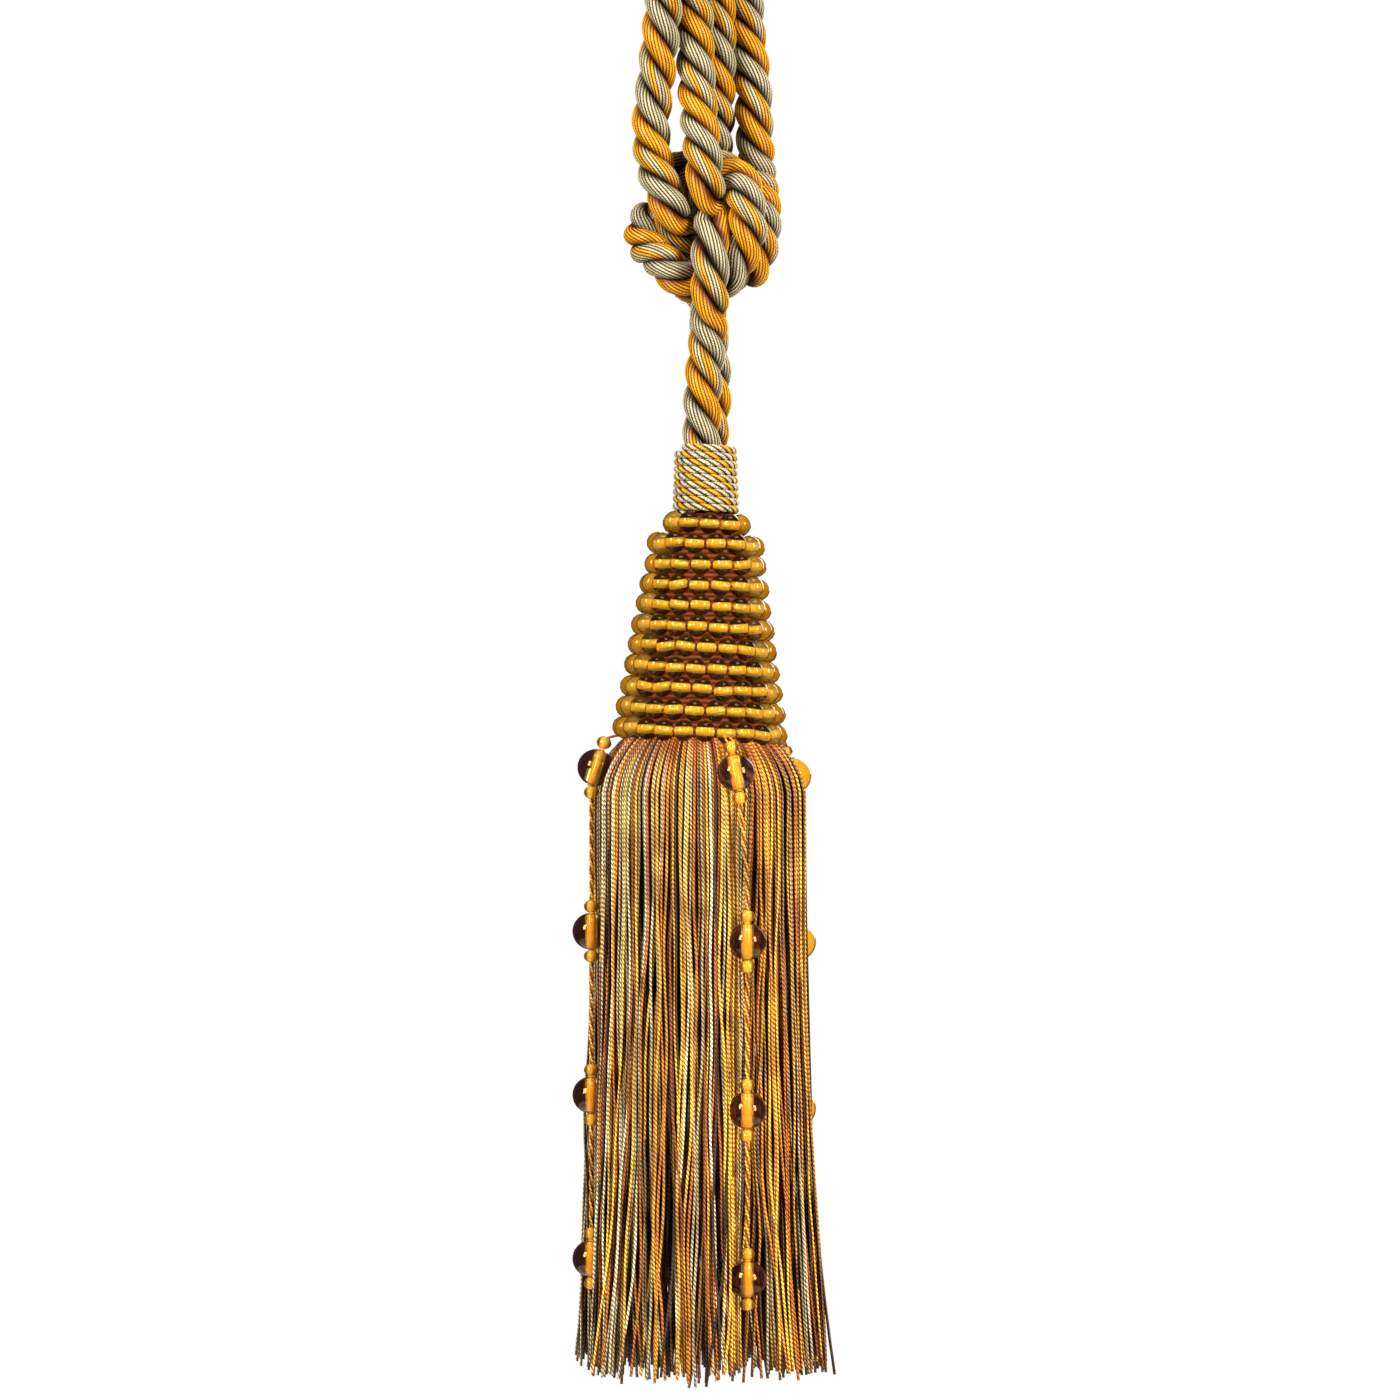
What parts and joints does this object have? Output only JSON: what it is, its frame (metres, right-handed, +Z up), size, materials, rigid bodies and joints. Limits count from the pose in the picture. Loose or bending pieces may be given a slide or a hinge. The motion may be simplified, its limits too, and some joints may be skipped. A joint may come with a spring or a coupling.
{
  "type": "tassel tieback",
  "caption": "Curtain tassel tieback: a knotted, looped twisted cord, a wound collar, a cone head covered with glass beads, and a long thread skirt hung with bead strings.",
  "frame": {"origin": "underside of the cord's inner loop at its top, where the hook carries the tieback", "axes": "+Z up along the hanging tassel, -Y towards the front in the picture, +X to the right in the picture"},
  "size_m": [0.0613, 0.0608, 0.3766],
  "materials": {
    "cord": "satin gold and grey rayon yarn, three plies",
    "collar": "satin fine cord, gold and off-white",
    "head_beads": "clear amber glass with a yellow lining",
    "skirt": "satin gold, rust and grey twisted threads",
    "drop_beads": "clear brown glass with a yellow lining, on gold thread"
  },
  "bodies": {
    "root": {"cord": "cord", "collar": "collar", "bead_head": "head_beads", "skirt": "skirt", "bead_drop_front": "drop_beads", "bead_drop_right": "drop_beads", "bead_drop_back": "drop_beads", "bead_drop_left": "drop_beads"}
  },
  "joints": []
}
